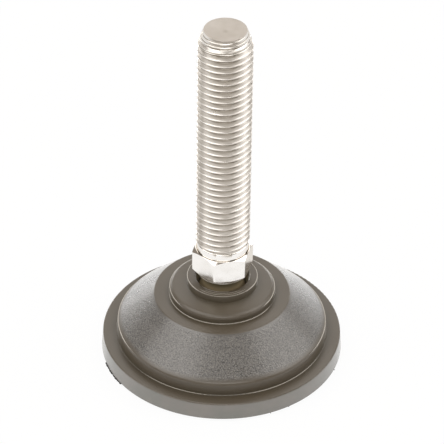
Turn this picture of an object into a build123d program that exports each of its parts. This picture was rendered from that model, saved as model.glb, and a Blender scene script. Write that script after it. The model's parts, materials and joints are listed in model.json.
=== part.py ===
"""Levelling foot: a threaded stud whose ball end swivels in a moulded base on a rubber pad.

Millimetres, +Z up. The origin is the centre of the pad's underside, where the foot stands.
"""

import os
from math import cos, pi, radians, sqrt, tan

from build123d import *

# Stud: thread, shank and spanner hexagon
thread_diameter = 15.8  # over the crests of an M16 x 2 thread
thread_pitch = 2.0
thread_depth = 1.23  # from crest to root
crest_width = 0.25  # flat left between two grooves
stud_reach = 75.0  # from the hexagon's top to the stud's end
lead_length = 4.6  # tapered start of the thread
lead_depth = 1.7  # drop in radius along the taper
shank_length = 2.8  # plain length between hexagon and thread
shank_undercut = 0.25  # the shank is this much below the crests, on the radius
hex_sides = 6
hex_across_flats = 16.0
hex_height = 7.3  # over the flats' middle, from chamfer to chamfer
hex_chamfer_angle = 30.0
ring_step = 0.4  # the round ring below the hexagon is this far inside its flats
ring_height = 1.4
ring_chamfer = 0.25

# Ball joint
ball_diameter = 15.0
ball_clearance = 0.1  # gap between ball and socket
ball_depth = 6.6  # from the collar's top down to the ball's centre
lip_grip = 0.3  # the socket's throat is this much smaller than the ball, on the radius
neck_clearance = 1.2  # from the throat to the neck, room for the stud to lean
swing_gap = 2.0  # from the collar's top to the ring below the hexagon

# Base, from the floor up
base_diameter = 71.5
rim_height = 5.1
rim_draft = 0.4  # the rim's wall leans in by this much
ledge_width = 4.1  # flat top of the rim, out to its edge
step_height = 3.8
step_draft = 0.3
cone_rise = 10.1
shoulder_width = 4.4  # flat ring between cone and boss
boss_height = 2.6
crown_width = 5.2  # sloping top of the boss
crown_rise = 1.2
collar_height = 2.3
collar_wall = 2.5
mouth_flare = 0.7  # the socket's mouth opens by this much above its throat

# Edge radii of the base
rim_edge_radius = 0.4
step_edge_radius = 1.5
crease_radius = 0.3
shoulder_edge_radius = 0.4
boss_edge_radius = 1.5
collar_edge_radius = 0.35

# Hollow underside of the base
shell_wall = 3.0
rim_wall = 3.2
seat_depth = 2.1  # recess that takes the pad's plug
hub_wall = 3.0  # round the ball socket
core_diameter = 9.0  # blind hole below the socket
core_roof = 3.5  # material left between that hole and the ball socket
rib_count = 8
rib_thickness = 2.4

# Rubber pad
pad_inset = 1.4  # the pad's edge is this far inside the rim's, out of sight from above
pad_flange = 1.0  # thickness below the rim
pad_clearance = 0.15  # between the plug and its recess
tread_count = 6
tread_width = 1.8
tread_depth = 0.7

# Heights
rim_bottom_z = pad_flange
seat_z = rim_bottom_z + seat_depth
rim_top_z = rim_bottom_z + rim_height
cone_foot_z = rim_top_z + step_height
shoulder_z = cone_foot_z + cone_rise
boss_edge_z = shoulder_z + boss_height
collar_foot_z = boss_edge_z + crown_rise
collar_top_z = collar_foot_z + collar_height
ball_z = collar_top_z - ball_depth
ring_bottom_z = collar_top_z + swing_gap
hex_bottom_z = ring_bottom_z + ring_height
hex_top_z = hex_bottom_z + hex_height
thread_start_z = hex_top_z + shank_length
stud_top_z = hex_top_z + stud_reach
lead_start_z = stud_top_z - lead_length

# Radii of the ball joint and what stands round it
ball_radius = ball_diameter / 2
socket_radius = ball_radius + ball_clearance
throat_radius = ball_radius - lip_grip
throat_z = ball_z + sqrt(socket_radius**2 - throat_radius**2)
mouth_radius = throat_radius + mouth_flare
neck_radius = throat_radius - neck_clearance
neck_foot_z = ball_z + sqrt(ball_radius**2 - neck_radius**2)
collar_radius = mouth_radius + collar_wall
boss_radius = collar_radius + crown_width
shoulder_radius = boss_radius + shoulder_width

# Radii of the base and the pad
rim_radius = base_diameter / 2
rim_top_radius = rim_radius - rim_draft
step_foot_radius = rim_top_radius - ledge_width
cone_foot_radius = step_foot_radius - step_draft
seat_radius = rim_radius - rim_wall
hub_radius = socket_radius + hub_wall
core_radius = core_diameter / 2
core_top_z = ball_z - socket_radius - core_roof
pad_radius = rim_radius - pad_inset
plug_radius = seat_radius - pad_clearance

# Radii of the stud
thread_radius = thread_diameter / 2
shank_radius = thread_radius - shank_undercut
lead_radius = thread_radius - lead_depth
flat_radius = hex_across_flats / 2
corner_radius = flat_radius / cos(pi / hex_sides)
ring_radius = flat_radius - ring_step

# The hollow below the cone keeps one wall thickness, measured square to the cone
cone_run = cone_foot_radius - shoulder_radius
cone_slope = cone_rise / cone_run
hollow_drop = shell_wall * sqrt(1 + cone_slope**2)
hollow_radius = step_foot_radius - shell_wall
hollow_foot_z = cone_foot_z + (cone_foot_radius - hollow_radius) * cone_slope - hollow_drop
roof_z = shoulder_z - shell_wall
roof_radius = shoulder_radius + (shoulder_z - hollow_drop - roof_z) / cone_slope
hollow_section = [
    (hub_radius, seat_z),
    (hub_radius, roof_z),
    (roof_radius, roof_z),
    (hollow_radius, hollow_foot_z),
    (hollow_radius, seat_z),
]

os.makedirs("parts", exist_ok=True)

# Ribs: what is left of the hollow where the rib plates cross it
with BuildPart() as base_ribs:
    with BuildSketch(Plane.XZ):
        with BuildLine():
            Polyline(*hollow_section, close=True)
        make_face()
    revolve(axis=Axis.Z)
    with BuildSketch(Plane.XY.offset(seat_z)):
        with PolarLocations(hollow_radius / 2, rib_count):
            Rectangle(hollow_radius, rib_thickness)
    extrude(amount=roof_z - seat_z, mode=Mode.INTERSECT)

# Base: one turned section from the rim to the collar and down into the ball socket
with BuildPart() as base_moulding:
    with BuildSketch(Plane.XZ):
        with BuildLine():
            FilletPolyline(
                (seat_radius, rim_bottom_z),
                (rim_radius, rim_bottom_z),
                (rim_top_radius, rim_top_z),
                (step_foot_radius, rim_top_z),
                (cone_foot_radius, cone_foot_z),
                (shoulder_radius, shoulder_z),
                (boss_radius, shoulder_z),
                (boss_radius, boss_edge_z),
                (collar_radius, collar_foot_z),
                (collar_radius, collar_top_z),
                (mouth_radius, collar_top_z),
                (throat_radius, throat_z),
                radius=[
                    0,
                    rim_edge_radius,
                    crease_radius,
                    step_edge_radius,
                    shoulder_edge_radius,
                    crease_radius,
                    boss_edge_radius,
                    0,
                    collar_edge_radius,
                    collar_edge_radius,
                ],
            )
            ThreePointArc(
                (throat_radius, throat_z),
                (socket_radius * cos(pi / 4), ball_z - socket_radius * cos(pi / 4)),
                (0, ball_z - socket_radius),
            )
            Polyline(
                (0, ball_z - socket_radius),
                (0, core_top_z),
                (core_radius, core_top_z),
                (core_radius, seat_z),
                *hollow_section,
                (seat_radius, seat_z),
                (seat_radius, rim_bottom_z),
            )
        make_face()
    revolve(axis=Axis.Z)
    add(base_ribs.part)

base_moulding.part.label = "base_moulding"
export_step(base_moulding.part, "parts/base_moulding.step")

# Stud: the hexagon is chamfered top and bottom, and the turned lengths run through it.
# Ring grooves at the true pitch stand for the screw's turns.
chamfer_drop = (corner_radius - flat_radius) * tan(radians(hex_chamfer_angle))
groove_width = thread_pitch - crest_width
turn_count = int((stud_top_z - thread_start_z) / thread_pitch)
groove_places = [(thread_radius, thread_start_z + turn * thread_pitch) for turn in range(1, turn_count)]

with BuildPart() as threaded_stud:
    with BuildSketch(Plane.XY.offset(hex_bottom_z)):
        RegularPolygon(flat_radius, hex_sides, major_radius=False, rotation=180 / hex_sides)
    extrude(amount=hex_height)
    with BuildSketch(Plane.XZ):
        with BuildLine():
            Polyline(
                (0, hex_bottom_z),
                (flat_radius, hex_bottom_z),
                (corner_radius, hex_bottom_z + chamfer_drop),
                (corner_radius, hex_top_z - chamfer_drop),
                (flat_radius, hex_top_z),
                (0, hex_top_z),
                close=True,
            )
        make_face()
    revolve(axis=Axis.Z, mode=Mode.INTERSECT)
    with BuildSketch(Plane.XZ):
        with BuildLine():
            ThreePointArc((0, ball_z - ball_radius), (ball_radius, ball_z), (neck_radius, neck_foot_z))
            Polyline(
                (neck_radius, neck_foot_z),
                (neck_radius, ring_bottom_z),
                (ring_radius - ring_chamfer, ring_bottom_z),
                (ring_radius, ring_bottom_z + ring_chamfer),
                (ring_radius, hex_bottom_z),
                (shank_radius, hex_top_z),
                (shank_radius, thread_start_z),
                (thread_radius, thread_start_z + (thread_radius - shank_radius)),
                (thread_radius, lead_start_z),
                (lead_radius, stud_top_z),
                (0, stud_top_z),
                (0, ball_z - ball_radius),
            )
        make_face()
        with Locations(*groove_places):
            Polygon(
                (-thread_depth, 0),
                (thread_depth, -groove_width),
                (thread_depth, groove_width),
                align=None,
                mode=Mode.SUBTRACT,
            )
    revolve(axis=Axis.Z)

threaded_stud.part.label = "threaded_stud"
export_step(threaded_stud.part, "parts/threaded_stud.step")

# Pad: a flange below the rim, a plug in the base's recess and round tread grooves underneath
tread_pitch = plug_radius / tread_count

with BuildPart() as grip_pad:
    with BuildSketch():
        Circle(pad_radius)
    extrude(amount=pad_flange)
    with BuildSketch(Plane.XY.offset(pad_flange)):
        Circle(plug_radius)
    extrude(amount=seat_z - pad_flange)
    with BuildSketch():
        for ring_number in range(tread_count - 1, 0, -1):
            Circle(ring_number * tread_pitch + tread_width / 2)
            Circle(ring_number * tread_pitch - tread_width / 2, mode=Mode.SUBTRACT)
    extrude(amount=tread_depth, mode=Mode.SUBTRACT)

grip_pad.part.label = "grip_pad"
export_step(grip_pad.part, "parts/grip_pad.step")
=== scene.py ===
"""Dresses the levelling foot: a plated stud with its rolled thread, a moulded base and a rubber pad.

Everything is in metres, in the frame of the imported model: +Z is up along the stud, and the origin is
the centre of the pad's underside.
"""

import json
import logging
import math
from collections.abc import Callable, Iterable, Sequence
from dataclasses import dataclass
from enum import Enum
from functools import cached_property

import bmesh
import bpy
from bmesh.types import BMesh
from bpy.types import ID, Material, Mesh, NodeSocket, NodeTree, Object
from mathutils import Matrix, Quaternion, Vector

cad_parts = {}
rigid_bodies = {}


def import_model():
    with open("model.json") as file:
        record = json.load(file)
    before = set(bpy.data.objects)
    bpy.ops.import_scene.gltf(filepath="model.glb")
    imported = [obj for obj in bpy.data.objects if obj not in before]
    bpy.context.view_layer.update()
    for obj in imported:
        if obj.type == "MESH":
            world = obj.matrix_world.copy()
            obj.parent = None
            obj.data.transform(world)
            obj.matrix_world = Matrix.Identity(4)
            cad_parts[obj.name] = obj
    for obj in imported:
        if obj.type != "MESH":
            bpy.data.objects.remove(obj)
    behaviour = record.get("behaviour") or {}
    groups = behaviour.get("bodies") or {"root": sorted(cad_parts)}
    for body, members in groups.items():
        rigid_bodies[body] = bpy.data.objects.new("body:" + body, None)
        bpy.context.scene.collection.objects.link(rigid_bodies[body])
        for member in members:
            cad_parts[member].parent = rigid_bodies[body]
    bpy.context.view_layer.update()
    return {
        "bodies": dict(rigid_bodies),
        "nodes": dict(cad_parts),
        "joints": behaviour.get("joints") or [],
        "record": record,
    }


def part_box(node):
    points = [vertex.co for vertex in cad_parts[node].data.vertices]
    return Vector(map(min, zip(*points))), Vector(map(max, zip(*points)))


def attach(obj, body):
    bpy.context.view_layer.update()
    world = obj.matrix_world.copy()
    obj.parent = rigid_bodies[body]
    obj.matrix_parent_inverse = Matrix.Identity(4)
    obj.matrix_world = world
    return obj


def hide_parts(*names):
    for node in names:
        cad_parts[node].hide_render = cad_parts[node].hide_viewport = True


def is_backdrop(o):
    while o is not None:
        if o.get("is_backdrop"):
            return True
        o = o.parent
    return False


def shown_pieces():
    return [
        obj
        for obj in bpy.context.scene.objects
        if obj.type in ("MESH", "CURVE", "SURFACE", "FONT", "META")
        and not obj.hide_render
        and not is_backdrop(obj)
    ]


LOG = logging.getLogger("levelling_foot")
MM = 0.001
TURN = 2 * math.pi
WELD_DISTANCE = 0.002 * MM
# Per-point value of the stud that paints shade into its grooves and creases, with some dirt in the roots
GROOVE_DIRT_AND_SHADE = "groove"
NOISE_RANGE = (0.3, 0.7)
CAMERA_AZIMUTH = math.radians(15.2)
FRONT = CAMERA_AZIMUTH - math.pi / 2

Colour = tuple[float, float, float, float]
WHITE: Colour = (1.0, 1.0, 1.0, 1.0)


class Body(Enum):
    """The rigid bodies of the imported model."""

    FOOT = "foot"
    STUD = "stud"


class Node(Enum):
    """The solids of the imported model."""

    STUD = "threaded_stud"
    BASE = "base_moulding"
    PAD = "grip_pad"


class Slot(Enum):
    """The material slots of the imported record."""

    STEEL = "plated_steel"
    NYLON = "moulded_nylon"
    RUBBER = "pad_rubber"


class TreeKind(Enum):
    """The kinds of node group."""

    SHADER = "ShaderNodeTree"
    GEOMETRY = "GeometryNodeTree"


class SocketKind(Enum):
    """What a node group takes in or puts out."""

    NUMBER = "NodeSocketFloat"
    PLACE = "NodeSocketVector"
    GEOMETRY = "NodeSocketGeometry"


class Effect(Enum):
    """The shader effects that the materials share, by the names of their node groups."""

    MOTTLE = "mottle"
    POLAR = "polar_place"
    CREASE = "crease_shade"


class Value:
    """What a node puts out. Arithmetic on it adds math nodes to the node's tree."""

    def __init__(self, socket: NodeSocket) -> None:
        """Keeps the node's output and its tree."""
        self.socket = socket
        self.tree = socket.id_data

    def __add__(self, other: "Term") -> "Value":
        """This value plus another."""
        return self.math("ADD", other)

    def __sub__(self, other: "Term") -> "Value":
        """This value minus another."""
        return self.math("SUBTRACT", other)

    def __rsub__(self, other: float) -> "Value":
        """A number minus this value."""
        return self.math("MULTIPLY_ADD", -1.0, other)

    def __mul__(self, other: "Term") -> "Value":
        """This value times another."""
        return self.math("MULTIPLY", other)

    def __truediv__(self, other: "Term") -> "Value":
        """This value divided by another."""
        return self.math("DIVIDE", other)

    def math(self, operation: str, *terms: "Term") -> "Value":
        """Adds a math node, such as "MAXIMUM", of this value and the terms."""
        return add_node(self.tree, "ShaderNodeMath", self, *terms, options={"operation": operation})["Value"]

    def vector_math(self, operation: str, other: Sequence[float]) -> "Value":
        """Adds a vector node that gives a number, such as the "DISTANCE" to another place."""
        options = {"operation": operation}
        return add_node(self.tree, "ShaderNodeVectorMath", self, other, options=options)["Value"]

    def off_whole(self) -> "Value":
        """How far this value is from the nearest whole number."""
        return ((self + 0.5).math("FRACT") - 0.5).math("ABSOLUTE")

    def ramp(self, low: "Term", high: "Term", ease: bool = False) -> "Value":
        """Goes from 0 where this value is low to 1 where it is high, with soft ends if ease is True."""
        style = "SMOOTHSTEP" if ease else "LINEAR"
        return add_node(
            self.tree, "ShaderNodeMapRange", options={"interpolation_type": style, "clamp": True},
            Value=self, From_Min=low, From_Max=high,
        )["Result"]

    def band(self, low: float, high: float, rise: float, fall: float) -> "Value":
        """One between low and high and nought elsewhere, with soft edges as wide as rise and fall."""
        return self.ramp(low, low + rise, ease=True) - self.ramp(high - fall, high, ease=True)

    def blend(self, first: "Term", second: "Term") -> "Value":
        """Blends two colours, with this value as the second one's share.

        Args:
            first: the colour where this value is 0.
            second: the colour where it is 1.

        Returns:
            The blended colour.
        """
        node = self.tree.nodes.new("ShaderNodeMix")
        node.data_type = "RGBA"
        colours = [socket for socket in node.inputs if socket.type == "RGBA"]
        for socket, term in zip((node.inputs[0], *colours), (self, first, second)):
            feed(socket, term)
        return Value(next(socket for socket in node.outputs if socket.type == "RGBA"))


Term = Value | float | str | Sequence[float] | Material


def feed(socket: NodeSocket, term: Term) -> None:
    """Leads a value into an input, or sets the input to a constant.

    Args:
        socket: the node's input.
        term: the value or the constant.
    """
    if isinstance(term, Value):
        socket.id_data.links.new(term.socket, socket)
    else:
        socket.default_value = term


def add_node(tree: NodeTree, kind: str, *terms: Term, options: dict[str, object] | None = None,
             **named: Term) -> dict[str, Value]:
    """Adds a node to a tree.

    Args:
        tree: the node tree.
        kind: Blender's name of the node's type.
        terms: a value or a constant for each input, in order.
        options: the node's own settings.
        named: a value or a constant by the input's name, with _ for a space.

    Returns:
        What the node puts out, by name. The first of two outputs with one name counts.
    """
    node = tree.nodes.new(kind)
    for option, choice in (options or {}).items():
        setattr(node, option, choice)
    for socket, term in zip(node.inputs, terms):
        feed(socket, term)
    for name, term in named.items():
        feed(node.inputs[name.replace("_", " ")], term)
    return {socket.name: Value(socket) for socket in list(node.outputs)[::-1]}


class Group:
    """A node group with named inputs and outputs."""

    def __init__(self, name: str, kind: TreeKind, inputs: dict[str, SocketKind],
                 outputs: dict[str, SocketKind]) -> None:
        """Makes the group's tree.

        Args:
            name: the group's name.
            kind: what the group is for.
            inputs: what it takes in, by name.
            outputs: what it puts out, by name.
        """
        self.tree = bpy.data.node_groups.new(name, kind.value)
        for in_out, sockets in (("INPUT", inputs), ("OUTPUT", outputs)):
            for socket, socket_kind in sockets.items():
                self.tree.interface.new_socket(socket, in_out=in_out, socket_type=socket_kind.value)
        self.given = self.add("NodeGroupInput")
        self.sink = self.tree.nodes.new("NodeGroupOutput")

    def add(self, kind: str, *terms: Term, **named: Term) -> dict[str, Value]:
        """Adds a node to the group, as add_node does."""
        return add_node(self.tree, kind, *terms, **named)

    def put(self, name: str, term: Value) -> None:
        """Leads a value to one of the group's outputs."""
        feed(self.sink.inputs[name], term)

    def put_mesh(self, name: str, mesh: Value, material: Material) -> None:
        """Ends a geometry group: gives the mesh its finish and leads it to an output."""
        real = self.add("GeometryNodeRealizeInstances", mesh)["Geometry"]
        self.put(name, self.add("GeometryNodeSetMaterial", Geometry=real, Material=material)["Geometry"])


RingShape = Callable[[float], tuple[float, float]]


def plain_ring(radius: float, height: float) -> RingShape:
    """A round, level ring of a turned shape."""
    return lambda angle: (radius, height)


def on_ring(spot: Vector, radius: float, height: float) -> bool:
    """Whether a point lies on a level ring round the axis."""
    return math.dist((math.hypot(spot.x, spot.y), spot.z), (radius, height)) < WELD_DISTANCE


def weld(mesh: BMesh) -> None:
    """Merges points that coincide and turns all faces outwards."""
    bmesh.ops.remove_doubles(mesh, verts=mesh.verts, dist=WELD_DISTANCE)
    bmesh.ops.recalc_face_normals(mesh, faces=mesh.faces)


def add_rings(mesh: BMesh, rings: Iterable[RingShape], columns: int) -> None:
    """Adds the faces between rings that share one axis.

    Args:
        mesh: the mesh that gets the faces.
        rings: for each ring, its radius and height at an angle. A ring of no radius becomes one point
            when the mesh is welded.
        columns: points in each ring.
    """
    rows = []
    for ring in rings:
        row = []
        for column in range(columns):
            angle = TURN * column / columns
            radius, height = ring(angle)
            row.append(mesh.verts.new((radius * math.cos(angle), radius * math.sin(angle), height)))
        rows.append(row)
    for low, high in zip(rows, rows[1:]):
        for column in range(columns):
            after = (column + 1) % columns
            mesh.faces.new((low[column], low[after], high[after], high[column]))


def finished_object(name: str, mesh: BMesh, material: Material, sharp_angle: float = math.pi) -> Object:
    """Turns a working mesh into a dressed object at the origin, smooth but for its sharp edges.

    Args:
        name: the piece's name.
        mesh: the working mesh, which is freed.
        material: the piece's finish.
        sharp_angle: edges that turn by more than this stay sharp, in radians.

    Returns:
        The new object, linked to the scene.
    """
    data = bpy.data.meshes.new(name)
    mesh.to_mesh(data)
    mesh.free()
    data.shade_smooth()
    data.set_sharp_from_angle(angle=sharp_angle)
    piece = bpy.data.objects.new(name, data)
    bpy.context.scene.collection.objects.link(piece)
    dress(piece, material)
    return piece


def dress(piece: Object, material: Material) -> None:
    """Gives every face of a piece one material."""
    piece.data.materials.clear()
    piece.data.materials.append(material)


def grown_mesh(tree: NodeTree, sizes: dict[str, float]) -> Mesh:
    """Runs a geometry tree and keeps its result.

    Args:
        tree: the node tree.
        sizes: a value for each of its named inputs.

    Returns:
        A plain mesh.
    """
    host = bpy.data.objects.new("host", bpy.data.meshes.new("host"))
    bpy.context.scene.collection.objects.link(host)
    modifier = host.modifiers.new("grow", "NODES")
    modifier.node_group = tree
    for item in tree.interface.items_tree:
        if item.item_type == "SOCKET" and item.in_out == "INPUT":
            modifier[item.identifier] = sizes[item.name]
    evaluated = host.evaluated_get(bpy.context.evaluated_depsgraph_get())
    made = bpy.data.meshes.new_from_object(evaluated)
    host.modifiers.remove(modifier)
    bpy.data.objects.remove(host)
    return made


class ShaderSheet:
    """A material with a Principled shader, and short ways to add nodes to it."""

    def __init__(self, name: str) -> None:
        """Makes the material and its shader."""
        self.material = bpy.data.materials.new(name)
        self.material.use_nodes = True
        self.tree = self.material.node_tree
        self.shader = self.tree.nodes["Principled BSDF"]

    def set(self, **terms: Term) -> None:
        """Feeds the shader's inputs, which are named with _ for a space."""
        for name, term in terms.items():
            feed(self.shader.inputs[name.replace("_", " ")], term)

    @cached_property
    def place(self) -> Value:
        """The point's place on the piece, in metres."""
        return add_node(self.tree, "ShaderNodeTexCoord")["Object"]

    def effect(self, effect: Effect, **terms: Term) -> dict[str, Value]:
        """Places a shared effect in the material, with a term for each of its inputs."""
        group = bpy.data.node_groups[effect.value]
        return add_node(self.tree, "ShaderNodeGroup", options={"node_tree": group}, **terms)

    def polar(self) -> tuple[Value, Value]:
        """The point's distance from the axis, and its height."""
        polar = self.effect(Effect.POLAR, Place=self.place)
        return polar["Radius"], polar["Height"]

    def mottle(self, size: float, detail: float) -> Value:
        """Soft patches of about this size, with this much finer detail inside them."""
        return self.effect(Effect.MOTTLE, Place=self.place, Patch_Size=size, Detail=detail)["Mask"]

    def bump(self, height: Value, depth: float) -> None:
        """Leads a height, in units of the depth in metres, into the shader's normal."""
        self.set(Normal=add_node(self.tree, "ShaderNodeBump", Height=height, Distance=depth)["Normal"])


def add_effects() -> None:
    """Makes the node groups of the shared effects."""
    # Soft patches over a surface, with finer patches inside them
    inputs = {"Place": SocketKind.PLACE, "Patch Size": SocketKind.NUMBER, "Detail": SocketKind.NUMBER}
    group = Group(Effect.MOTTLE.value, TreeKind.SHADER, inputs, {"Mask": SocketKind.NUMBER})
    scale = group.given["Patch Size"].math("POWER", -1.0)
    noise = group.add(
        "ShaderNodeTexNoise", Vector=group.given["Place"], Scale=scale, Detail=group.given["Detail"])
    group.put("Mask", noise["Fac"].ramp(*NOISE_RANGE))

    # Distance from the object's axis, and height
    outputs = {"Radius": SocketKind.NUMBER, "Height": SocketKind.NUMBER}
    group = Group(Effect.POLAR.value, TreeKind.SHADER, {"Place": SocketKind.PLACE}, outputs)
    split = group.add("ShaderNodeSeparateXYZ", group.given["Place"])
    group.put("Radius", (split["X"] * split["X"] + split["Y"] * split["Y"]).math("SQRT"))
    group.put("Height", split["Z"])

    # How close a point is to a round crease, from 1 in the crease to 0 at its reach
    names = ("Radius", "Height", "Crease Radius", "Crease Height", "Reach")
    inputs = dict.fromkeys(names, SocketKind.NUMBER)
    group = Group(Effect.CREASE.value, TreeKind.SHADER, inputs, {"Mask": SocketKind.NUMBER})
    out = group.given["Radius"] - group.given["Crease Radius"]
    up = group.given["Height"] - group.given["Crease Height"]
    group.put("Mask", (out * out + up * up).math("SQRT").ramp(group.given["Reach"], 0.0))


@dataclass(frozen=True)
class PlatedSteel:
    """Bright warm plating, dull on the stud's cut end, with dirt and painted shade in the thread's roots,
    painted shade in its creases, and grease on the ball with painted shadow.
    """

    stud: "ThreadedStud"
    plating: Colour = (0.945, 0.92, 0.89, 1.0)
    tarnish: Colour = (0.89, 0.855, 0.81, 1.0)
    rolled: Colour = (0.84, 0.812, 0.778, 1.0)
    rolled_tarnish: Colour = (0.76, 0.725, 0.68, 1.0)
    cut_end: Colour = (0.565, 0.53, 0.495, 1.0)
    cut_shade: Colour = (0.34, 0.30, 0.25, 1.0)
    # Dark colour of the roots: partly oily dirt, partly painted shade; also painted shade in the lead's dents
    # and the hexagon's creases
    root: Colour = (0.31, 0.275, 0.225, 1.0)
    # Grease colours: a dark copy under the ring that is painted shadow, and a lighter lit copy lower down
    grease: Colour = (0.075, 0.064, 0.034, 1.0)
    thin_grease: Colour = (0.29, 0.232, 0.145, 1.0)
    edge_tint: Colour = (0.80, 0.77, 0.73, 1.0)
    cut_soft: float = 0.02 * MM
    thread_soft: float = 0.5 * MM
    grease_soft: float = 0.1 * MM
    thick_grease: float = 1.2 * MM
    grease_span: float = 3.3 * MM
    root_start: float = 0.83
    patch_size: float = 3.0 * MM
    patch_detail: float = 5.0
    tarnish_share: float = 0.5
    cut_patch_size: float = 6.0 * MM
    cut_patch_detail: float = 2.0
    cut_patch_share: float = 0.5
    ring_pitch: float = 0.45 * MM
    ring_share: float = 0.06
    mark_radius: float = 1.1 * MM
    mark_offset: float = 0.9 * MM
    mark_share: float = 0.45
    smooth_rough: float = 0.09
    worn_rough: float = 0.19
    thread_rough: float = 0.18
    cut_rough: float = 0.45

    def material(self) -> Material:
        """Builds the steel's material.

        Returns:
            The material.
        """
        thread, ring = self.stud.thread_start, self.stud.ring_bottom
        sheet = ShaderSheet("plated_steel_finish")
        radius, height = sheet.polar()
        worn = sheet.mottle(self.patch_size, self.patch_detail)
        groove = add_node(sheet.tree, "ShaderNodeAttribute", options={"attribute_name": GROOVE_DIRT_AND_SHADE})["Fac"]
        cut = height.ramp(self.stud.cut_height - self.cut_soft, self.stud.cut_height)
        rolled = height.ramp(thread, thread + self.thread_soft)
        greased = height.ramp(ring, ring - self.grease_soft)
        # Grease is darker for the first millimetre under the ring as painted shadow, and lighter further down
        grease_lit_share = height.ramp(ring - self.thick_grease, ring - self.grease_span)
        metal = (worn * self.tarnish_share).blend(
            rolled.blend(self.plating, self.rolled), rolled.blend(self.tarnish, self.rolled_tarnish))
        # Painted shade, with some dirt in the roots, wherever the groove value is high
        metal = groove.ramp(self.root_start, 1.0).blend(metal, self.root)
        metal = greased.blend(metal, grease_lit_share.blend(self.grease, self.thin_grease))
        face = self._face_shade(sheet, radius).blend(self.cut_end, self.cut_shade)
        rough = worn * (self.worn_rough - self.smooth_rough) + self.smooth_rough + rolled * self.thread_rough
        dull = cut.math("MAXIMUM", greased)
        sheet.set(
            Base_Color=cut.blend(metal, face),
            Roughness=rough + dull * (self.cut_rough - rough),
            Metallic=1.0 - greased,
            Specular_Tint=self.edge_tint,
        )
        return sheet.material

    def _face_shade(self, sheet: ShaderSheet, radius: Value) -> Value:
        """The turning rings, the patches and the dark spot of the stud's cut end.

        Args:
            sheet: the steel's material.
            radius: the point's distance from the axis.

        Returns:
            The share of the darker colour.
        """
        rings = (radius * (TURN / self.ring_pitch)).math("SINE")
        patch = sheet.mottle(self.cut_patch_size, self.cut_patch_detail)
        spot = (self.mark_offset * math.cos(FRONT), self.mark_offset * math.sin(FRONT), self.stud.cut_height)
        mark = sheet.place.vector_math("DISTANCE", spot).ramp(self.mark_radius, 0.0)
        return rings * self.ring_share + patch * self.cut_patch_share + mark * self.mark_share


@dataclass(frozen=True)
class Crease:
    """A round crease: its distance from the axis, its height, and how far its shade reaches."""

    radius: float
    height: float
    reach: float


@dataclass
class BaseMoulding:
    """The moulded base, whose solid is dressed as it is, and the limits of its faces."""

    rim_radius: float
    collar_top: float
    wall_depth: float = 0.45 * MM
    mouth_depth: float = 0.1 * MM
    mouth_radius: float = 7.9 * MM
    cone_inner: float = 20.05 * MM
    cone_outer: float = 31.0 * MM
    cone_foot: float = 9.5 * MM
    creases: tuple[Crease, ...] = (
        Crease(10.4 * MM, 23.8 * MM, 2.6 * MM),
        Crease(15.6 * MM, 20.0 * MM, 1.8 * MM),
        Crease(31.25 * MM, 6.1 * MM, 2.2 * MM),
    )

    @classmethod
    def from_frame(cls) -> "BaseMoulding":
        """Reads the base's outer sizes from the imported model."""
        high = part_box(Node.BASE.value)[1]
        return cls(rim_radius=high.x, collar_top=high.z)

    def __post_init__(self) -> None:
        """Works out where the rim's wall and the socket's greased mouth begin."""
        self.wall_radius = self.rim_radius - self.wall_depth
        self.mouth_height = self.collar_top - self.mouth_depth

    def dress(self, solid: Object) -> None:
        """Gives the base's solid its finish."""
        dress(solid, MouldedNylon(self).material())


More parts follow.
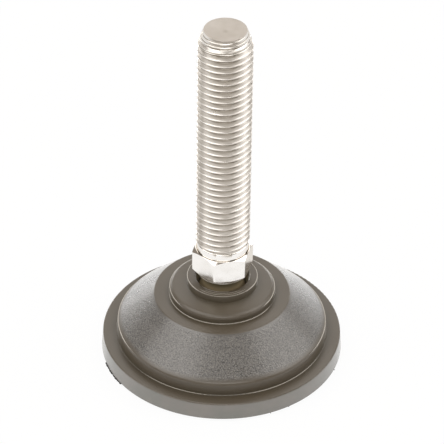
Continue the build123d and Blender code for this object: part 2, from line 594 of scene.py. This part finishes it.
@dataclass(frozen=True)
class MouldedNylon:
    """Charcoal nylon: smooth, with painted shade in its creases, and an eroded texture on the cone."""

    base: BaseMoulding
    smooth: Colour = (0.079, 0.062, 0.040, 1.0)
    shaded: Colour = (0.061, 0.048, 0.028, 1.0)
    pits: Colour = (0.010, 0.009, 0.008, 1.0)
    peaks: Colour = (0.166, 0.154, 0.140, 1.0)
    wall: Colour = (0.130, 0.130, 0.112, 1.0)
    wall_patch: Colour = (0.176, 0.158, 0.140, 1.0)
    greased: Colour = (0.26, 0.225, 0.15, 1.0)
    mask_soft: float = 0.1 * MM
    edge_soft: float = 0.25 * MM
    foot_fade: float = 1.8 * MM
    grain_rise: float = 1.0 * MM
    grain_fall: float = 1.5 * MM
    grain_size: float = 0.37 * MM
    grain_detail: float = 1.0
    grain_depth: float = 0.07 * MM
    patch_size: float = 9.0 * MM
    patch_detail: float = 4.0
    patch_rough: float = 0.05
    smooth_rough: float = 0.36
    textured_rough: float = 0.26
    gloss: float = 0.95
    bloom: float = 0.6
    bloom_rough: float = 0.2
    coat_rough: float = 0.25

    def material(self) -> Material:
        """Builds the nylon's material.

        Returns:
            The material.
        """
        base = self.base
        sheet = ShaderSheet("moulded_nylon_finish")
        radius, height = sheet.polar()
        grain = sheet.mottle(self.grain_size, self.grain_detail)
        patches = sheet.mottle(self.patch_size, self.patch_detail)
        ring = radius.band(base.cone_inner, base.cone_outer, self.edge_soft, self.foot_fade)
        cone = ring * height.ramp(base.cone_foot, base.cone_foot + self.edge_soft)
        grained = radius.band(base.cone_inner, base.cone_outer, self.grain_rise, self.grain_fall)
        wall = radius.ramp(base.wall_radius - self.mask_soft, base.wall_radius + self.mask_soft)
        inside = radius.ramp(base.mouth_radius, base.mouth_radius - self.mask_soft)
        below = height.ramp(base.mouth_height, base.mouth_height - self.mask_soft)
        relief = (grain - 0.5) * grained
        # Painted shade in the creases, in the shaded colour
        colour = self._shade(sheet, radius, height).blend(self.smooth, self.shaded)
        colour = cone.blend(colour, (relief + 0.5).blend(self.pits, self.peaks))
        colour = (inside * below).blend(colour, self.greased)
        rough = cone * (self.textured_rough - self.smooth_rough) + self.smooth_rough
        sheet.bump(relief * cone, self.grain_depth)
        sheet.set(
            Base_Color=wall.blend(colour, patches.blend(self.wall, self.wall_patch)),
            Roughness=rough + patches * self.patch_rough,
            Specular_IOR_Level=self.gloss,
            Sheen_Weight=self.bloom,
            Sheen_Roughness=self.bloom_rough,
            Coat_Weight=cone + wall,
            Coat_Roughness=self.coat_rough,
        )
        return sheet.material

    def _shade(self, sheet: ShaderSheet, radius: Value, height: Value) -> Value:
        """Paints shade into the creases.

        Args:
            sheet: the nylon's material.
            radius: the point's distance from the axis.
            height: its height.

        Returns:
            The mask, 1 in a crease.
        """
        near = [
            sheet.effect(
                Effect.CREASE, Radius=radius, Height=height,
                Crease_Radius=crease.radius, Crease_Height=crease.height, Reach=crease.reach,
            )["Mask"]
            for crease in self.base.creases
        ]
        mask = near[0]
        for other in near[1:]:
            mask = mask.math("MAXIMUM", other)
        return mask


@dataclass(frozen=True)
class PaintedHighlightNylon:
    """Pale nylon for the fine raised lines along the base's edges: mould lines, painted with their highlight.
    """

    # Pale colour that paints the edges' highlight onto the lines
    colour: Colour = (0.53, 0.50, 0.45, 1.0)
    rough: float = 0.35

    def material(self) -> Material:
        """Builds the lines' material.

        Returns:
            The material.
        """
        sheet = ShaderSheet("painted_highlight_finish")
        sheet.set(Base_Color=self.colour, Roughness=self.rough)
        return sheet.material


@dataclass(frozen=True)
class GripRubber:
    """Dull black rubber."""

    colour: Colour = (0.018, 0.017, 0.016, 1.0)
    dusty: Colour = (0.05, 0.047, 0.043, 1.0)
    patch_size: float = 2.0 * MM
    patch_detail: float = 6.0
    patch_depth: float = 0.05 * MM
    rough: float = 0.75

    def material(self) -> Material:
        """Builds the rubber's material.

        Returns:
            The material.
        """
        sheet = ShaderSheet("grip_rubber_finish")
        patches = sheet.mottle(self.patch_size, self.patch_detail)
        sheet.set(Base_Color=patches.blend(self.colour, self.dusty), Roughness=self.rough)
        sheet.bump(patches, self.patch_depth)
        return sheet.material


@dataclass
class Thread:
    """The rolled screw thread, made by geometry nodes as one helical sheet.

    Each row of the sheet follows the helix at one place of the profile, and the rows lie closer together
    at the rounded crests and roots. The rows are cut off level at both ends.
    """

    radius: float
    shank_radius: float
    tip_radius: float
    start: float
    end: float
    crest_place: float
    lead_length: float = 4.6 * MM
    pitch: float = 2.0 * MM
    runout: float = 0.8 * MM
    depth_share: float = 0.6134
    crest_share: float = 1 / 8
    root_share: float = 1 / 4
    rounding: float = 0.18 * MM
    seam_depth: float = 0.13 * MM
    seam_width: float = 0.25
    seam_shade: float = 2.0
    spare_turns: int = 2
    rows_per_pitch: int = 16
    row_crowding: float = 0.6
    columns: int = 120

    def mesh(self, material: Material) -> Mesh:
        """Runs the node tree and keeps its result.

        Args:
            material: the finish that the tree sets.

        Returns:
            A plain mesh of the thread, open at both ends.
        """
        sizes = {
            "Pitch": self.pitch,
            "Depth": self.pitch * self.depth_share,
            "Crest Radius": self.radius,
            "Shank Radius": self.shank_radius,
            "Tip Radius": self.tip_radius,
            "Start": self.start,
            "Length": self.end - self.start,
            "Lead Length": self.lead_length,
            "Runout": self.runout,
            "Crest Place": self.crest_place,
            "Rounding": self.rounding,
            "Seam Depth": self.seam_depth,
        }
        inputs = dict.fromkeys(sizes, SocketKind.NUMBER)
        group = Group("rolled_thread", TreeKind.GEOMETRY, inputs, {"Thread": SocketKind.GEOMETRY})
        self._fill(group, material)
        return grown_mesh(group.tree, sizes)

    def _fill(self, group: Group, material: Material) -> None:
        """Adds the nodes that bend a flat grid into the thread.

        Args:
            group: the empty group, with its sizes as named inputs.
            material: the finish that the tree sets.
        """
        size = group.given
        pitch, depth, length = size["Pitch"], size["Depth"], size["Length"]
        crest, shank, tip = size["Crest Radius"], size["Shank Radius"], size["Tip Radius"]
        seam_depth = size["Seam Depth"]

        turn_count = math.ceil((self.end - self.start) / self.pitch + self.spare_turns)
        grid = group.add(
            "GeometryNodeMeshGrid", Size_X=1.0, Size_Y=1.0,
            Vertices_X=self.columns + 1, Vertices_Y=turn_count * self.rows_per_pitch + 1,
        )["Mesh"]
        split = group.add("ShaderNodeSeparateXYZ", group.add("GeometryNodeInputPosition")["Position"])
        turn = split["X"] + 0.5
        row = (split["Y"] + 0.5) * turn_count
        row = row - (row * (2 * TURN)).math("SINE") * (self.row_crowding / (2 * TURN))

        # Profile of the turns, with its run-out at the shank
        phase = turn + size["Crest Place"]
        climb = (row - self.spare_turns + phase) * pitch
        height = climb.math("MINIMUM", length).math("MAXIMUM", 0.0)
        turns = height / pitch - phase
        flank = (1 - self.crest_share - self.root_share) / 2
        fall = (turns.off_whole() - self.crest_share / 2) * (depth / flank)
        drop = fall.math("SMOOTH_MIN", depth, size["Rounding"]).math("SMOOTH_MAX", 0.0, size["Rounding"])
        fade = height.ramp(0.0, size["Runout"], ease=True)
        rolled = shank + (crest - drop - shank) * fade

        # Tapered lead, with fine dents twice per turn that also carry painted shade
        to_tip = length - height
        lead = tip + to_tip * ((crest - tip) / size["Lead Length"])
        envelope = lead.math("MINIMUM", crest)
        filled = rolled.math("MINIMUM", lead)
        on_lead = (crest - envelope).ramp(0.0, seam_depth)
        off_tip = to_tip.ramp(seam_depth, seam_depth * 2.0)
        seam = (turns * 2.0).off_whole().ramp(self.seam_width, 0.0) * (on_lead * off_tip)
        radius = filled - seam * seam_depth
        # The groove value for the finish: depth below the envelope for dirt and painted shade in the roots,
        # and painted shade along the dents
        line = (seam * self.seam_shade).math("MINIMUM", 1.0)
        groove = ((envelope - filled) / depth * fade).math("MAXIMUM", line)

        angle = turn * TURN
        spot = group.add(
            "ShaderNodeCombineXYZ",
            radius * angle.math("COSINE"), radius * angle.math("SINE"), height + size["Start"],
        )["Vector"]
        marked = group.add(
            "GeometryNodeStoreNamedAttribute", options={"data_type": "FLOAT", "domain": "POINT"},
            Geometry=grid, Name=GROOVE_DIRT_AND_SHADE, Value=groove,
        )["Geometry"]
        bent = group.add("GeometryNodeSetPosition", Geometry=marked, Position=spot)["Geometry"]
        merged = group.add("GeometryNodeMergeByDistance", Geometry=bent, Distance=WELD_DISTANCE)["Geometry"]
        group.put_mesh("Thread", merged, material)


@dataclass
class ThreadedStud:
    """The turned stud: ball, neck, ring, spanner hexagon, shank and thread."""

    top: float
    flat_radius: float
    thread_radius: float
    ball_height: float
    ball_radius: float = 7.5 * MM
    neck_radius: float = 6.0 * MM
    reach: float = 75.0 * MM
    hex_height: float = 7.3 * MM
    hex_chamfer: float = math.radians(30)
    hex_edge: float = 0.22 * MM
    ring_step: float = 0.4 * MM
    ring_height: float = 1.4 * MM
    ring_chamfer: float = 0.25 * MM
    relief_width: float = 0.6 * MM
    relief_depth: float = 0.35 * MM
    crease_shade: float = 0.3 * MM
    shank_length: float = 2.1 * MM
    shank_undercut: float = 0.25 * MM
    lead_depth: float = 1.8 * MM
    crest_place: float = 0.90
    cut_margin: float = 0.01 * MM
    cut_rings: tuple[float, ...] = (1.0, 0.98, 0.5, 0.0)
    sharp_angle: float = math.radians(38)
    sides: int = 6
    ball_steps: int = 24

    @classmethod
    def from_frame(cls, frame: dict) -> "ThreadedStud":
        """Reads the stud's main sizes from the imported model.


        Returns:
            The stud.
        """
        low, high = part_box(Node.STUD.value)
        thread = next(m for m in frame["record"]["mounts"] if m["name"] == "stud_thread")
        return cls(
            top=high.z,
            flat_radius=(high.x - low.x) / 2,
            thread_radius=thread["dims"]["r_mm"] * MM,
            ball_height=frame["joints"][0]["pos_m"][2],
        )

    def __post_init__(self) -> None:
        """Works out the heights and radii that follow from the sizes."""
        self.cut_height = self.top - self.cut_margin
        self.hex_top = self.top - self.reach
        self.hex_bottom = self.hex_top - self.hex_height
        self.ring_bottom = self.hex_bottom - self.ring_height
        self.thread_start = self.hex_top + self.shank_length
        self.ring_radius = self.flat_radius - self.ring_step
        self.shank_radius = self.thread_radius - self.shank_undercut

    def build(self) -> Object:
        """Makes the stud as one closed mesh.

        Returns:
            The stud's object.
        """
        material = PlatedSteel(self).material()
        thread = Thread(
            radius=self.thread_radius,
            shank_radius=self.shank_radius,
            tip_radius=self.thread_radius - self.lead_depth,
            start=self.thread_start,
            end=self.top,
            crest_place=self.crest_place,
        )
        mesh = bmesh.new()
        mesh.from_mesh(thread.mesh(material))
        cut_face = [plain_ring(thread.tip_radius * share, self.top) for share in self.cut_rings]
        add_rings(mesh, self._lower_rings(), thread.columns)
        add_rings(mesh, cut_face, thread.columns)
        weld(mesh)
        self._shade_creases(mesh)
        self._soften_hexagon(mesh)
        piece = finished_object("stud_dressed", mesh, material, self.sharp_angle)
        self._sharpen_chamfer(piece.data)
        return piece

    def _hexagon(self, angle: float) -> float:
        """Distance from the axis to the hexagon's face at an angle from a flat's middle."""
        sector = TURN / self.sides
        return self.flat_radius / math.cos((angle + sector / 2) % sector - sector / 2)

    def _chamfered(self, height: float, way: float) -> RingShape:
        """Where a chamfer meets the hexagon, with its corners above the height (way 1) or below (way -1)."""
        fall = math.tan(self.hex_chamfer) * way
        return lambda angle: (self._hexagon(angle), height + (self._hexagon(angle) - self.flat_radius) * fall)

    def _ball(self) -> list[tuple[float, float]]:
        """The ball's section, from its bottom up to the neck.

        Returns:
            Radius and height of its rings.
        """
        sweep = math.acos(self.neck_radius / self.ball_radius) + math.pi / 2
        angles = [sweep * step / self.ball_steps - math.pi / 2 for step in range(self.ball_steps + 1)]
        return [
            (self.ball_radius * math.cos(angle), self.ball_height + self.ball_radius * math.sin(angle))
            for angle in angles
        ]

    def _relief_creases(self) -> list[tuple[float, float]]:
        """Radius and height of the dark rings in the relief below the hexagon."""
        groove, foot = self.ring_radius - self.relief_depth, self.hex_bottom - self.relief_width
        return [(self.ring_radius, foot), (groove, foot), (groove, self.hex_bottom)]

    def _shank_creases(self) -> list[tuple[float, float]]:
        """Radius and height of the dark rings where the shank meets the hexagon."""
        shank, top, shade = self.shank_radius, self.hex_top, self.crease_shade / 2
        return [(shank + shade, top), (shank, top), (shank, top + shade)]

    def _lower_rings(self) -> list[RingShape]:
        """The rings of the stud below its thread.

        Returns:
            The rings, from the ball's bottom up.
        """
        below = [
            *self._ball(),
            (self.neck_radius, self.ring_bottom),
            (self.ring_radius - self.ring_chamfer, self.ring_bottom),
            (self.ring_radius, self.ring_bottom + self.ring_chamfer),
            (self.ring_radius, self.hex_bottom - self.relief_width - self.crease_shade / 3),
            *self._relief_creases(),
            (self.flat_radius, self.hex_bottom),
        ]
        above = [
            (self.flat_radius, self.hex_top),
            *self._shank_creases(),
            (self.shank_radius, self.hex_top + self.crease_shade),
            (self.shank_radius, self.thread_start),
        ]
        chamfers = [self._chamfered(self.hex_bottom, 1), self._chamfered(self.hex_top, -1)]
        return [*(plain_ring(*spot) for spot in below), *chamfers, *(plain_ring(*spot) for spot in above)]

    def _shade_creases(self, mesh: BMesh) -> None:
        """Marks the round creases beside the hexagon with the groove value, so that the finish paints shade
        into them.

        Args:
            mesh: the stud's welded mesh.
        """
        creases = self._relief_creases() + self._shank_creases()
        layer = mesh.verts.layers.float[GROOVE_DIRT_AND_SHADE]
        for vert in mesh.verts:
            if any(on_ring(vert.co, *crease) for crease in creases):
                vert[layer] = 1.0

    def _soften_hexagon(self, mesh: BMesh) -> None:
        """Breaks the hexagon's upright edges.

        Args:
            mesh: the stud's welded mesh.
        """
        middle = self.hex_top - self.hex_height / 2
        corner = self.flat_radius / math.cos(math.pi / self.sides)
        upright = [
            edge for edge in mesh.edges
            if min(v.co.z for v in edge.verts) < middle < max(v.co.z for v in edge.verts)
            and all(math.hypot(v.co.x, v.co.y) > corner - WELD_DISTANCE for v in edge.verts)
        ]
        bmesh.ops.bevel(mesh, geom=upright, offset=self.hex_edge, segments=2, profile=0.5, affect="EDGES")

    def _sharpen_chamfer(self, data: Mesh) -> None:
        """Keeps the edge between the hexagon's chamfer and its flat top sharp.

        Args:
            data: the stud's finished mesh.
        """
        on_edge = {vert.index for vert in data.vertices if on_ring(vert.co, self.flat_radius, self.hex_top)}
        for edge in data.edges:
            if on_edge.issuperset(edge.vertices):
                edge.use_edge_sharp = True


class Edge(Enum):
    """Edges of the base that carry a raised pale line of painted highlight: distance from the axis, and
    height.
    """

    STEP_TOP = (30.80 * MM, 9.95 * MM)
    STEP_FOOT = (31.35 * MM, 6.20 * MM)
    BOSS_TOP = (15.45 * MM, 22.10 * MM)
    BOSS_FOOT = (15.70 * MM, 20.10 * MM)
    COLLAR = (10.29 * MM, 25.99 * MM)
    COLLAR_OUTER_RING = (9.60 * MM, 26.10 * MM)
    COLLAR_INNER_RING = (8.90 * MM, 26.10 * MM)
    MOUTH = (8.20 * MM, 26.07 * MM)


@dataclass(frozen=True)
class EdgeLine:
    """A fine raised pale line along an edge, painted highlight where the edge is lit: its thickness, its ends
    and its taper in degrees from the front.
    """

    edge: Edge
    thickness: float
    start: float
    end: float
    taper: float = 18.0

    def sizes(self) -> dict[str, float]:
        """The line's sizes, by the names of the node tree's inputs."""
        radius, height = self.edge.value
        return {
            "Radius": radius,
            "Height": height,
            "Thickness": self.thickness,
            "Start": FRONT + math.radians(self.start),
            "Sweep": math.radians(self.end - self.start),
            "Taper": self.taper / (self.end - self.start),
        }


@dataclass
class PaintedHighlightLines:
    """Fine raised pale lines along the base's edges, where the parts of its mould met, painted with the
    edges' highlight.
    """

    # Each line runs only over the arc where its edge shows a highlight: painted highlight
    lines: tuple[EdgeLine, ...] = (
        EdgeLine(Edge.STEP_TOP, 0.14 * MM, -128, -54),
        EdgeLine(Edge.STEP_TOP, 0.13 * MM, 54, 128),
        EdgeLine(Edge.STEP_FOOT, 0.085 * MM, -52, 0),
        EdgeLine(Edge.STEP_FOOT, 0.095 * MM, 4, 68),
        EdgeLine(Edge.BOSS_TOP, 0.12 * MM, 46, 314),
        EdgeLine(Edge.BOSS_FOOT, 0.105 * MM, -92, 70),
        EdgeLine(Edge.COLLAR, 0.035 * MM, -180, 180),
        EdgeLine(Edge.COLLAR, 0.12 * MM, 30, 330, 30.0),
        EdgeLine(Edge.COLLAR_OUTER_RING, 0.05 * MM, -50, 50),
        EdgeLine(Edge.COLLAR_INNER_RING, 0.05 * MM, -42, 42),
        EdgeLine(Edge.MOUTH, 0.06 * MM, -56, 24),
        EdgeLine(Edge.MOUTH, 0.06 * MM, 62, 112),
    )
    columns: int = 160
    sides: int = 8

    def build(self) -> Object:
        """Makes the lines as slender closed tubes of pale nylon.

        Returns:
            The object that holds them all.
        """
        material = PaintedHighlightNylon().material()
        tree = self._tree(material)
        mesh = bmesh.new()
        for line in self.lines:
            mesh.from_mesh(grown_mesh(tree, line.sizes()))
        weld(mesh)
        return finished_object("painted_highlight_lines", mesh, material)

    def _tree(self, material: Material) -> NodeTree:
        """Builds the node tree of one line: a round tube along an arc, thinner towards its ends.

        Args:
            material: the finish that the tree sets.

        Returns:
            The tree, with its sizes as named inputs.
        """
        inputs = dict.fromkeys(self.lines[0].sizes(), SocketKind.NUMBER)
        group = Group("witness_line", TreeKind.GEOMETRY, inputs, {"Line": SocketKind.GEOMETRY})
        size = group.given
        arc = group.add(
            "GeometryNodeCurveArc", Resolution=self.columns,
            Radius=size["Radius"], Start_Angle=size["Start"], Sweep_Angle=size["Sweep"],
        )["Curve"]
        profile = group.add(
            "GeometryNodeCurvePrimitiveCircle", Resolution=self.sides, Radius=size["Thickness"])["Curve"]
        along = group.add("GeometryNodeSplineParameter")["Factor"]
        thinned = along.math("MINIMUM", 1.0 - along).ramp(0.0, size["Taper"], ease=True)
        tube = group.add("GeometryNodeCurveToMesh", Curve=arc, Profile_Curve=profile, Scale=thinned)["Mesh"]
        lift = group.add("ShaderNodeCombineXYZ", Z=size["Height"])["Vector"]
        raised = group.add("GeometryNodeTransform", Geometry=tube, Translation=lift)["Geometry"]
        group.put_mesh("Line", raised, material)
        return group.tree


@dataclass(frozen=True)
class RaggedNibs:
    """A stretch of ragged black nibs past the pad's edge: its ends in degrees from the front, and how far out
    it stands.
    """

    start: float
    end: float
    reach: float = 36.0 * MM
    ragged: float = 0.16 * MM
    taper: float = math.radians(0.7)
    teeth: tuple[tuple[float, float], ...] = ((173.0, 0.0), (311.0, 1.0), (67.0, 2.0))

    def radius(self, angle: float, inner: float) -> float:
        """Distance from the axis to the nibs' edge. Its teeth are a sum of waves.

        Args:
            angle: place along the edge.
            inner: radius of the edge where there are no nibs.

        Returns:
            The radius.
        """
        past = (angle - FRONT - math.radians(self.start)) % TURN
        left = math.radians(self.end - self.start) - past
        if left < 0:
            return inner
        share = min(1.0, past / self.taper, left / self.taper)
        tooth = sum(math.sin(angle * waves + phase) for waves, phase in self.teeth) / len(self.teeth)
        return inner + (self.reach - inner + self.ragged * tooth) * share


@dataclass
class GripPad:
    """The rubber pad, with its tread below and ragged black nibs along part of its edge."""

    radius: float
    top: float
    plug_radius: float = 32.4 * MM
    flange: float = 1.0 * MM
    edge: float = 0.25 * MM
    edge_steps: int = 3
    edge_support: float = 0.06 * MM
    tread_count: int = 6
    tread_width: float = 1.8 * MM
    tread_depth: float = 0.7 * MM
    flash_height: float = 0.8 * MM
    flash_thickness: float = 0.35 * MM
    flash: tuple[RaggedNibs, ...] = (RaggedNibs(-73.6, -54.5), RaggedNibs(68.6, 70.4), RaggedNibs(33.0, 34.6), RaggedNibs(23.2, 24.8))
    sharp_angle: float = math.radians(35)
    columns: int = 900

    @classmethod
    def from_frame(cls) -> "GripPad":
        """Reads the pad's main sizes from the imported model."""
        low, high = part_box(Node.PAD.value)
        return cls(radius=(high.x - low.x) / 2, top=high.z)

    def build(self) -> Object:
        """Makes the pad as one closed mesh.

        Returns:
            The pad's object.
        """
        mesh = bmesh.new()
        add_rings(mesh, [self._ring(*spot) for spot in self._section()], self.columns)
        weld(mesh)
        return finished_object("pad_dressed", mesh, GripRubber().material(), self.sharp_angle)

    def _section(self) -> list[tuple[float, float]]:
        """The pad's turned section. A support beside each end of its rounded edge keeps the shading flat.

        Returns:
            Radius and height of its points, from the middle of its top round to the middle of its tread.
        """
        core = self.radius - self.edge
        angles = [math.pi / 2 * step / self.edge_steps for step in range(self.edge_steps + 1)]
        section = [
            (0, self.top),
            (self.plug_radius, self.top),
            (self.plug_radius, self.flange),
            (self.radius, self.flange),
            (self.radius, self.flash_height + self.flash_thickness / 2),
            (self.radius, self.flash_height),
            (self.radius, self.flash_height - self.flash_thickness / 2),
            (self.radius, self.edge + self.edge_support),
            *((core + self.edge * math.cos(angle), self.edge * (1 - math.sin(angle))) for angle in angles),
            (core - self.edge_support, 0),
        ]
        pitch = self.plug_radius / self.tread_count
        for number in range(self.tread_count - 1, 0, -1):
            outer, inner = (number * pitch + side * self.tread_width / 2 for side in (1, -1))
            section += [(outer, 0), (outer, self.tread_depth), (inner, self.tread_depth), (inner, 0)]
        return [*section, (0, 0)]

    def _ring(self, radius: float, height: float) -> RingShape:
        """One ring of the pad, pushed out by the nibs if it lies at their height."""
        flash = self.flash if math.isclose(height, self.flash_height) else ()
        return lambda angle: (max([radius, *(nib.radius(angle, radius) for nib in flash)]), height)


@dataclass(frozen=True)
class Softbox:
    """A soft lamp: its direction as seen by the camera, its sides in metres, and its glow (1 is white)."""

    name: str
    way: tuple[float, float, float]
    width: float
    height: float
    glow: float
    tint: tuple[float, float, float] = (1.0, 0.985, 0.965)


@dataclass
class Studio:
    """The pale floor, the soft lamps, the surroundings and the camera."""

    azimuth: float = CAMERA_AZIMUTH
    elevation: float = math.radians(36.748)
    distance: float = 817.6 * MM
    aim_height: float = 45.33 * MM
    roll: float = math.radians(0.75)
    lens: float = 228.4
    sensor: float = 36.0
    shift: tuple[float, float] = (-0.0023, 0.0009)
    clip: tuple[float, float] = (0.01, 20.0)
    floor_span: float = 8.0
    floor_colour: Colour = (0.95, 0.95, 0.95, 1.0)
    floor_rough: float = 0.9
    floor_white: float = 0.95
    front_floor: tuple[float, float] = (-0.20, -0.07)
    front_glow: float = 0.42
    front_tint: Colour = (1.0, 0.90, 0.77, 1.0)
    low_sky: Colour = (1.0, 0.985, 0.96, 1.0)
    high_sky: Colour = (0.23, 0.20, 0.165, 1.0)
    sky_rise: tuple[float, float] = (0.10, 0.44)
    sky_front: tuple[float, float] = (0.1, -0.6)
    lamps: tuple[Softbox, ...] = (
        Softbox("left_softbox", (-0.60, -0.22, 0.77), 0.88, 0.98, 1.85),
        Softbox("right_softbox", (0.70, -0.01, 0.715), 0.92, 1.0, 1.70),
        Softbox("back_panel", (-0.025, 0.72, 0.70), 1.14, 0.5, 1.54),
        Softbox("front_fill", (0.0, -0.85, 0.53), 0.9, 0.4, 2.4),
        Softbox("low_left_panel", (-0.45, 0.89, 0.065), 0.32, 0.2, 6.4),
        Softbox("low_right_panel", (0.38, 0.92, 0.06), 0.3, 0.2, 5.2),
    )

    def build(self) -> None:
        """Makes everything round the object."""
        bpy.context.scene.view_settings.view_transform = "Standard"
        self._floor()
        self._world()
        for lamp in self.lamps:
            self._softbox(lamp)
        self._camera()

    def _turned(self, way: Sequence[float]) -> Vector:
        """Turns a direction given as seen by the camera into the object's frame."""
        return Quaternion((0, 0, 1), self.azimuth) @ Vector(way)

    def _placed(self, data: ID, away: Vector, turn: Quaternion) -> Object:
        """Adds a lamp or a camera to the scene.

        Args:
            data: the lamp or the camera.
            away: its place, seen from the point that the camera aims at.
            turn: how it is turned.

        Returns:
            The new object.
        """
        thing = bpy.data.objects.new(data.name, data)
        thing.location = Vector((0, 0, self.aim_height)) + away
        thing.rotation_mode = "QUATERNION"
        thing.rotation_quaternion = turn
        bpy.context.scene.collection.objects.link(thing)
        return thing

    def _camera(self) -> None:
        """Places the camera."""
        data = bpy.data.cameras.new("camera")
        data.lens = self.lens
        data.sensor_width = self.sensor
        data.shift_x, data.shift_y = self.shift
        data.clip_start, data.clip_end = self.clip
        back = self._turned((0, -math.cos(self.elevation), math.sin(self.elevation)))
        turn = (-back).to_track_quat("-Z", "Y") @ Quaternion((0, 0, 1), self.roll)
        bpy.context.scene.camera = self._placed(data, back * self.distance, turn)

    def _softbox(self, softbox: Softbox) -> None:
        """Adds a lamp that faces the object from one metre away.

        Args:
            softbox: the lamp.
        """
        data = bpy.data.lights.new(softbox.name, "AREA")
        data.shape = "RECTANGLE"
        data.size = softbox.width
        data.size_y = softbox.height
        data.color = softbox.tint
        data.energy = softbox.glow * math.pi * softbox.width * softbox.height
        toward = self._turned(Vector(softbox.way).normalized())
        self._placed(data, toward, toward.to_track_quat("Z", "Y"))

    def _floor(self) -> None:
        """Lays the floor: pale, white to the camera, and dimmer near the camera where it is mirrored."""
        sheet = ShaderSheet("pale_floor")
        sheet.set(Base_Color=self.floor_colour, Roughness=self.floor_rough, Specular_IOR_Level=0.0)
        light = add_node(sheet.tree, "ShaderNodeLightPath")
        glossy = light["Is Glossy Ray"]
        seen = light["Is Camera Ray"].math("MAXIMUM", glossy).math("MAXIMUM", light["Is Transmission Ray"])
        away = sheet.place.vector_math("DOT_PRODUCT", self._turned((0, 1, 0)))
        dim = glossy * (1.0 - away.ramp(*self.front_floor, ease=True))
        white = add_node(
            sheet.tree, "ShaderNodeEmission",
            Color=dim.blend(WHITE, self.front_tint), Strength=1.0 - dim * (1.0 - self.front_glow),
        )["Emission"]
        pale = Value(sheet.shader.outputs["BSDF"])
        mixed = add_node(sheet.tree, "ShaderNodeMixShader", seen * self.floor_white, pale, white)["Shader"]
        feed(sheet.tree.nodes["Material Output"].inputs["Surface"], mixed)

        half = self.floor_span / 2
        mesh = bmesh.new()
        corners = ((-half, -half), (half, -half), (half, half), (-half, half))
        mesh.faces.new([mesh.verts.new((*corner, 0)) for corner in corners])
        floor = finished_object("floor", mesh, sheet.material)
        floor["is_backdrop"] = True

    def _world(self) -> None:
        """Sets the surroundings: white to the camera, pale low down and warm grey overhead and in front."""
        world = bpy.data.worlds.new("surroundings")
        world.use_nodes = True
        bpy.context.scene.world = world
        tree = world.node_tree
        way = add_node(tree, "ShaderNodeTexCoord")["Generated"]
        ahead = way.vector_math("DOT_PRODUCT", self._turned((0, 1, 0)))
        overhead = add_node(tree, "ShaderNodeSeparateXYZ", way)["Z"].ramp(*self.sky_rise, ease=True)
        grey = overhead.math("MAXIMUM", ahead.ramp(*self.sky_front, ease=True))
        sky = grey.blend(self.low_sky, self.high_sky)
        shown = add_node(tree, "ShaderNodeLightPath")["Is Camera Ray"].blend(sky, WHITE)
        feed(tree.nodes["Background"].inputs["Color"], shown)


def main() -> None:
    """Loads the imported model, dresses its pieces and sets the studio round it."""
    logging.basicConfig(level=logging.INFO, format="%(name)s: %(message)s")
    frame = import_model()
    add_effects()

    stud_piece = ThreadedStud.from_frame(frame).build()
    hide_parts(Node.STUD.value)
    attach(stud_piece, Body.STUD.value)

    pad_piece = GripPad.from_frame().build()
    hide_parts(Node.PAD.value)
    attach(pad_piece, Body.FOOT.value)

    lines = PaintedHighlightLines().build()
    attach(lines, Body.FOOT.value)

    BaseMoulding.from_frame().dress(frame["nodes"][Node.BASE.value])
    Studio().build()

    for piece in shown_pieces():
        LOG.info("%s: %d faces", piece.name, len(piece.data.polygons))


if __name__ == "__main__":
    main()
